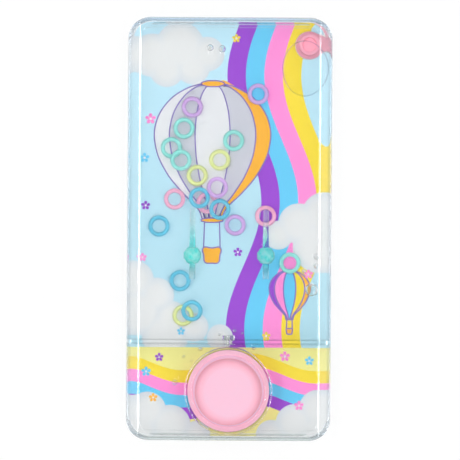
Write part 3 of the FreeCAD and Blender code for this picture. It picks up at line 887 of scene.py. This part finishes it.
class WATERGAME_OT_water(bpy.types.Operator):
    """Fill both chambers with water, with the air bubbles under the window"""
    bl_idname = "watergame.water"
    bl_label = "Water"

    def execute(self, context):
        s = sizes()
        tints = colours()
        bezel_radius = (BEZEL_HIGH.x - BEZEL_LOW.x) / 2
        wall_y = middle(BEZEL_LOW, BEZEL_HIGH).y + bezel_radius + WALL_GAP
        half_wall = s.partition / 2 - s.overlap
        high_end = CASE_HIGH.y - s.wall_thickness + s.overlap
        low_end = CASE_LOW.y + s.wall_thickness - s.overlap
        tank = water_block("tank_water", wall_y + half_wall, high_end, high_end)
        chamber = water_block("chamber_water", low_end, wall_y - half_wall, low_end)
        water = clean_water("water_clean", tints.water, 1.33)
        air = clean_water("air_in_water", tints.water, 1.18, 0.15)
        pocket = clean_water("air_pocket", tints.water, 1.2, 0.93)
        # The painted dark outline round the large bubble
        meniscus = clean_water("air_meniscus", tints.meniscus, 1.12, 0.6)
        fill(tank, water, air, [large_bubble(pocket, meniscus)], BUBBLES_MM)
        fill(chamber, water, air, [], CHAMBER_BUBBLES_MM)
        return {"FINISHED"}


SHEET_CORNER = 6.6 * MM
PLUG_CLEARANCE = 0.1 * MM
FLOWER_LEVEL, EYE_LEVEL = 8, 10


def blank_sheet():
    """The sheet, less the room for the inks, with its round corners and its hole."""
    half = (SHEET_HIGH - SHEET_LOW) / 2
    bpy.ops.mesh.primitive_cube_add(
        size=1, location=(0, 0, (SHEET_LOW.z + SHEET_HIGH.z - INK_ROOM) / 2),
        scale=(2 * half.x, 2 * half.y, 2 * half.z - INK_ROOM))
    sheet = take("printed_picture")
    edit(sheet)
    choose(sheet, "EDGE", lambda e: abs(e.verts[0].co.z - e.verts[1].co.z) > NEARLY)
    bpy.ops.mesh.bevel(offset=SHEET_CORNER, segments=12, profile=0.5)
    finish_edit()
    radius = (PLUG_HIGH.x - PLUG_LOW.x) / 2 + PLUG_CLEARANCE
    hole = cylinder("plug_hole", 64, radius, 2 * MM, (PLUG.x, PLUG.y, 0))
    modify(sheet, "BOOLEAN", operation="DIFFERENCE", solver="EXACT", object=hole)
    bpy.data.objects.remove(hole)
    return sheet


class WATERGAME_OT_picture(bpy.types.Operator):
    """Print the sheet on the back: sky, ribbons, clouds, balloons and flowers"""
    bl_idname = "watergame.picture"
    bl_label = "Printed picture"

    def execute(self, context):
        sheet = blank_sheet()
        sheet.data.materials.clear()
        sheet.data.materials.append(printed_film("printed_film_satin"))
        inks = {key: printed_ink(f"ink_{key}", getattr(colours(), key)) for key in
                ("yellow", "pink", "blue", "purple", "lilac", "orange", "pearl", "pearl_shade")}
        pearls = [inks["pearl"], inks["pearl_shade"]]
        brights = [inks[key] for key in ("purple", "pink", "blue", "yellow", "orange")]
        drawings = balloon("large_balloon", (-6.0, 3.0), 48.0, 20.0,
                           pearls + pearls + [inks["orange"]], inks["lilac"], 2)
        drawings += balloon("small_balloon", (21.0, -31.0), 17.0, 7.0, brights, inks["lilac"], 2)
        for index, (x, y, radius, key) in enumerate(FLOWERS):
            drawings.append(ink_area(f"flower_{index}", flower_points(x, y, radius), inks[key],
                                     FLOWER_LEVEL))
            eye = [(x + radius * 0.24 * math.cos(turn * math.pi / 2),
                    y + radius * 0.24 * math.sin(turn * math.pi / 2)) for turn in range(4)]
            drawings.append(ink_area(f"flower_eye_{index}", eye, inks["pearl"], EYE_LEVEL))
        merge(sheet, drawings)
        finished(sheet, None, "case", "printed_sheet", "picture_label")
        return {"FINISHED"}


class WATERGAME_OT_soft_button(bpy.types.Operator):
    """Model the soft button as one moulding: flange, flexing side wall and top"""
    bl_idname = "watergame.soft_button"
    bl_label = "Soft button"

    def execute(self, context):
        s, tints = sizes(), colours()
        cap = (CAP_HIGH.x - CAP_LOW.x) / 2
        foot = (SKIRT_HIGH.x - SKIRT_LOW.x) / 2
        flange = (FLANGE_HIGH.x - FLANGE_LOW.x) / 2
        wall = 0.8 * MM
        corners = [
            (0.0, CAP_HIGH.z - s.cap_dish, 0), (cap * 0.55, CAP_HIGH.z - s.cap_dish * 0.8, 0),
            (cap - s.cap_round * 1.1, CAP_HIGH.z - 0.02 * MM, s.cap_round * 0.5),
            (cap, CAP_HIGH.z - s.cap_round * 0.9, s.cap_round * 0.8),
            (cap, CAP_LOW.z, 0.3 * MM), (foot, FLANGE_HIGH.z + s.overlap, 0.4 * MM),
            (flange, FLANGE_HIGH.z + s.overlap, 0.15 * MM),
            (flange, FLANGE_LOW.z - s.overlap, 0.15 * MM),
            (foot - wall, FLANGE_LOW.z - s.overlap, 0.15 * MM),
            (foot - wall, FLANGE_HIGH.z, 0),
            (cap - wall, CAP_LOW.z, 0.2 * MM), (0.0, CAP_LOW.z, 0),
        ]
        button = turned("soft_button", (BUTTON.x, BUTTON.y, 0), corners)
        edge, hem = cap / flange, foot / flange
        # The rim's deeper pink is partly painted shade of the rounded edge; the side wall's
        # lighter pink and its glow are painted light in the groove
        stops = ((0.0, tints.button), (edge * 0.7, tints.button), (edge * 0.92, tints.button_rim),
                 (edge, tints.button_rim), (edge + 0.01, tints.button_wall_painted_light),
                 (hem, tints.button_wall_painted_light), (hem + 0.01, tints.button_flange))
        rubber = soft_rubber("silicone_rubber_moulded", stops, BUTTON, flange, (edge, hem))
        finished(button, rubber, None, "soft_button", "button_flange", "button_skirt",
                 "button_cap")
        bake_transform(button)
        return {"FINISHED"}


class WATERGAME_OT_plug(bpy.types.Operator):
    """Model the soft filler plug"""
    bl_idname = "watergame.plug"
    bl_label = "Filler plug"

    def execute(self, context):
        flange = (PLUG_HIGH.x - PLUG_LOW.x) / 2
        shank, hollow, flange_depth, hollow_depth = (v * MM for v in (3.7, 2.4, 0.8, 2.2))
        seat = PLUG_LOW.z + flange_depth + sizes().overlap
        floor = PLUG_HIGH.z - hollow_depth
        corners = [
            (0.0, PLUG_LOW.z, 0), (flange, PLUG_LOW.z, 0.25 * MM), (flange, seat, 0.15 * MM),
            (shank, seat, 0.1 * MM), (shank, PLUG_HIGH.z, 0.3 * MM),
            (hollow, PLUG_HIGH.z, 0.3 * MM), (hollow, floor, 0.3 * MM), (0.0, floor, 0),
        ]
        plug = turned("soft_filler_plug", (PLUG.x, PLUG.y, 0), corners, steps=64)
        stops = ((0.0, colours().button_rim), (hollow / flange, colours().button_rim),
                 (hollow / flange + 0.05, colours().plug))
        rubber = soft_rubber("plug_rubber_moulded", stops, PLUG, flange)
        finished(plug, rubber, "plug", "soft_plug", "filler_plug")
        return {"FINISHED"}


SPIKE_LENGTH = 16.0 * MM
SPIKE_FOOT, SPIKE_TIP = 1.15 * MM, 0.8 * MM
STEM_RADIUS, FOOT_RADIUS = 1.0 * MM, 0.9 * MM
FOOT_BACK = 5.0 * MM


def faceted_peg(node, ball_material, spike_material):
    """One peg as a closed piece: its ball with flat facets, its spike, stem and foot."""
    low, high = (Vector(corner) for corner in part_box(node))
    ball_radius = (high.x - low.x) / 2
    centre = Vector(((low.x + high.x) / 2, high.y - SPIKE_LENGTH, high.z - ball_radius))
    x, y, z = centre
    bpy.ops.mesh.primitive_ico_sphere_add(subdivisions=2, radius=ball_radius, location=centre)
    ball = take(f"faceted_{node}")
    bpy.ops.mesh.primitive_cone_add(
        vertices=24, radius1=SPIKE_FOOT, radius2=SPIKE_TIP, depth=SPIKE_LENGTH,
        location=(x, y + SPIKE_LENGTH / 2, z), rotation=(-math.pi / 2, 0, 0))
    spike = take(f"{node}_spike")
    stem = cylinder(f"{node}_stem", 16, STEM_RADIUS, y - low.y, (x, (y + low.y) / 2, z),
                    math.pi / 2)
    foot = cylinder(f"{node}_foot", 16, FOOT_RADIUS, z - low.z,
                    (x, y - FOOT_BACK, (z + low.z) / 2))
    unite(ball, [spike, stem, foot])
    pick(ball)
    bpy.ops.object.shade_flat()
    ball.data.materials.append(ball_material)
    ball.data.materials.append(spike_material)
    for face in ball.data.polygons:
        face.material_index = int((face.center - centre).length > ball_radius)
    return ball


class WATERGAME_OT_pegs(bpy.types.Operator):
    """Model the two pegs: faceted ball, tapered spike, stem and foot"""
    bl_idname = "watergame.pegs"
    bl_label = "Pegs"

    def execute(self, context):
        tints = colours()
        ball_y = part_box("peg_left")[1][1] - SPIKE_LENGTH
        teal = dyed_clear_plastic("teal_polystyrene_moulded",
                                  [(-3.0, tints.peg), (3.0, tints.peg)], ball_y, 0.5)
        pale = dyed_clear_plastic("pale_teal_polystyrene_moulded",
                                  [(-6.0, tints.spike), (-3.0, tints.peg), (4.0, tints.peg),
                                   (11.0, tints.spike)], ball_y, 0.95)
        for node in ("peg_left", "peg_right"):
            finished(faceted_peg(node, teal, pale), None, "case", "teal_peg", node)
        return {"FINISHED"}


class WATERGAME_OT_rings(bpy.types.Operator):
    """Finish the loose rings in their five colours"""
    bl_idname = "watergame.rings"
    bl_label = "Loose rings"

    def execute(self, context):
        for key in ("purple", "teal", "yellow", "pink", "blue"):
            plastic = moulded_ring_plastic(f"{key}_polyethylene_moulded",
                                           getattr(colours(), f"ring_{key}"))
            for name, obj in NODES.items():
                if name.startswith(f"ring_{key}"):
                    for slot in obj.material_slots:
                        slot.material = plastic
        return {"FINISHED"}


FLOOR_GLOW, FLOOR_SHOWN_WHITE = 1.06, 0.75


def pale_floor(name):
    """A pale matt tabletop that shows white, with the toy's faint shadow."""
    material, tree = start_material(name)
    path = add_node(tree, "ShaderNodeLightPath").outputs
    seen = maths(tree, "MAXIMUM", path["Is Camera Ray"], path["Is Glossy Ray"])
    seen = maths(tree, "MAXIMUM", seen, path["Is Transmission Ray"])
    seen = maths(tree, "SUBTRACT", seen, path["Diffuse Depth"], use_clamp=True)
    matt = add_node(tree, "ShaderNodeBsdfDiffuse", {"Color": linear("#F2F2F2")}).outputs[0]
    white = add_node(tree, "ShaderNodeEmission", {"Color": WHITE, "Strength": FLOOR_GLOW})
    shown = mixed_surface(tree, FLOOR_SHOWN_WHITE, matt, white.outputs[0])
    output_surface(tree, mixed_surface(tree, seen, matt, shown))
    return material


# Directions as places on a sphere of radius 1: the dark opening overhead by its height, and the
# windows at its sides by their places across and along
MATT_LEVEL, OPENING_LEVEL, WINDOW_LEVEL = 0.55, 0.02, 8.0
OPENING_FROM, OPENING_TO = 0.985, 0.95
WINDOW_ACROSS, WINDOW_HALF_WIDTH = 0.292, 0.055
WINDOW_END, WINDOW_FULL = 0.12, 0.1


def white_surroundings(name):
    """White paper all round, with a dark opening overhead where the camera stands, so that flat
    faces turned up show no pale reflection, and a bright window on each side of it that only
    shiny faces show; matt surfaces get a soft part of the paper."""
    world = bpy.data.worlds.new(name)
    world.use_nodes = True
    tree = world.node_tree
    tree.nodes.clear()
    path = add_node(tree, "ShaderNodeLightPath").outputs
    direction = add_node(tree, "ShaderNodeTexCoord").outputs["Generated"]
    around = ranged(tree, axis_parts(tree, direction)["Z"], OPENING_FROM, OPENING_TO,
                    OPENING_LEVEL, 1.0, interpolation_type="SMOOTHSTEP")
    sharp = maths(tree, "MAXIMUM", path["Is Glossy Ray"], path["Is Transmission Ray"])
    sharp = maths(tree, "SUBTRACT", sharp, path["Diffuse Depth"], use_clamp=True)
    level = add_node(tree, "ShaderNodeMix",
                     {"data_type": "FLOAT", 0: sharp, 2: MATT_LEVEL, 3: around}).outputs[0]
    level = maths(tree, "MAXIMUM", level, path["Is Camera Ray"])
    sides = axis_parts(tree, vector_maths(tree, "ABSOLUTE", direction))
    strip = maths(tree, "COMPARE", sides["X"], WINDOW_ACROSS, WINDOW_HALF_WIDTH)
    ends = ranged(tree, sides["Y"], WINDOW_END, WINDOW_FULL, 0.0, WINDOW_LEVEL)
    shine = maths(tree, "MULTIPLY", strip, ends)
    shone = maths(tree, "SUBTRACT", path["Is Glossy Ray"], path["Is Transmission Ray"],
                  use_clamp=True)
    shone = maths(tree, "SUBTRACT", shone, path["Diffuse Depth"], use_clamp=True)
    level = maths(tree, "MULTIPLY_ADD", shine, shone, level)
    glow = add_node(tree, "ShaderNodeBackground", {"Color": WHITE}, {"Strength": level})
    add_node(tree, "ShaderNodeOutputWorld", {"Surface": glow.outputs[0]})
    return world


LAMP_HEIGHT, LAMP_ACROSS = 0.56, 0.18
LAMP_WIDTH, LAMP_LENGTH = 0.075, 0.5
LAMP_ENERGY, LAMP_DIFFERENCE = 0.88, 0.08


def lamp_strip(name, side):
    """A long soft lamp over one side of the case, turned towards its middle."""
    lamp = bpy.data.lights.new(name, "AREA")
    lamp.shape = "RECTANGLE"
    lamp.size, lamp.size_y = LAMP_WIDTH, LAMP_LENGTH
    lamp.energy = LAMP_ENERGY - LAMP_DIFFERENCE * side
    obj = bpy.data.objects.new(name, lamp)
    obj.location = (side * LAMP_ACROSS, 0, LAMP_HEIGHT)
    obj.rotation_euler = (0, math.atan2(side * LAMP_ACROSS, LAMP_HEIGHT), 0)
    bpy.context.collection.objects.link(obj)


SENSOR_WIDTH = 36.0
PHOTO_PIXELS, PIXELS_PER_MM = 460, 2.923
OFF_CENTRE_PIXELS = (0.7, -1.0)
CAMERA_TURN = math.radians(0.37)
EDGE_DROP = 4.2 * MM


def photograph_camera(name):
    """The photograph's camera, straight above; its height counts from the case's front edge,
    where the case is as wide as in the photograph."""
    camera = bpy.data.cameras.new(name)
    camera.sensor_width = SENSOR_WIDTH
    height = sizes().camera_height
    camera.lens = SENSOR_WIDTH * height / (PHOTO_PIXELS / PIXELS_PER_MM * MM)
    camera.clip_start, camera.clip_end = 0.01, 20.0
    obj = bpy.data.objects.new(name, camera)
    off_centre = Vector(OFF_CENTRE_PIXELS) / PIXELS_PER_MM * MM
    obj.location = (off_centre.x, off_centre.y, CASE_HIGH.z - EDGE_DROP + height)
    obj.rotation_euler = (0, 0, CAMERA_TURN)
    bpy.context.collection.objects.link(obj)
    return obj


class WATERGAME_OT_stage(bpy.types.Operator):
    """Set the floor, the soft lamps, the white surroundings and the camera"""
    bl_idname = "watergame.stage"
    bl_label = "Stage"

    def execute(self, context):
        deselect()
        bpy.ops.mesh.primitive_plane_add(size=3.0, location=(0, 0, 0))
        floor = take("tabletop")
        floor.data.materials.append(pale_floor("tabletop_matt"))
        scene = context.scene
        scene.world = white_surroundings("white_surroundings")
        for side in (-1, 1):
            lamp_strip(f"soft_lamp_{side + 1}", side)
        scene.camera = photograph_camera("photograph_camera")
        scene.view_settings.view_transform = "Standard"
        return {"FINISHED"}


STEPS = (
    WATERGAME_OT_stage, WATERGAME_OT_clear_case, WATERGAME_OT_water, WATERGAME_OT_picture,
    WATERGAME_OT_soft_button, WATERGAME_OT_plug, WATERGAME_OT_pegs, WATERGAME_OT_rings,
)


class WATERGAME_PT_pieces(bpy.types.Panel):
    """The steps that dress the water game, and its sizes and colours"""
    bl_label = "Water Game"
    bl_space_type = "VIEW_3D"
    bl_region_type = "UI"
    bl_category = "Water Game"

    def draw(self, context):
        for step in STEPS:
            self.layout.operator(step.bl_idname)
        for group in (context.scene.water_game_sizes, context.scene.water_game_colours):
            box = self.layout.box()
            for key in group.__annotations__:
                box.prop(group, key)


CLASSES = (WaterGameSizes, WaterGameColours) + STEPS + (WATERGAME_PT_pieces,)


def register():
    """Register the classes and hang the settings on the scene."""
    for cls in CLASSES:
        bpy.utils.register_class(cls)
    bpy.types.Scene.water_game_sizes = bpy.props.PointerProperty(type=WaterGameSizes)
    bpy.types.Scene.water_game_colours = bpy.props.PointerProperty(type=WaterGameColours)


def unregister():
    """Take the settings and the classes away again."""
    del bpy.types.Scene.water_game_colours
    del bpy.types.Scene.water_game_sizes
    for cls in reversed(CLASSES):
        bpy.utils.unregister_class(cls)


def main():
    """Dress the water game from start to end."""
    register()
    for step in STEPS:
        group, name = step.bl_idname.split(".")
        getattr(getattr(bpy.ops, group), name)()


if __name__ == "__main__":
    main()
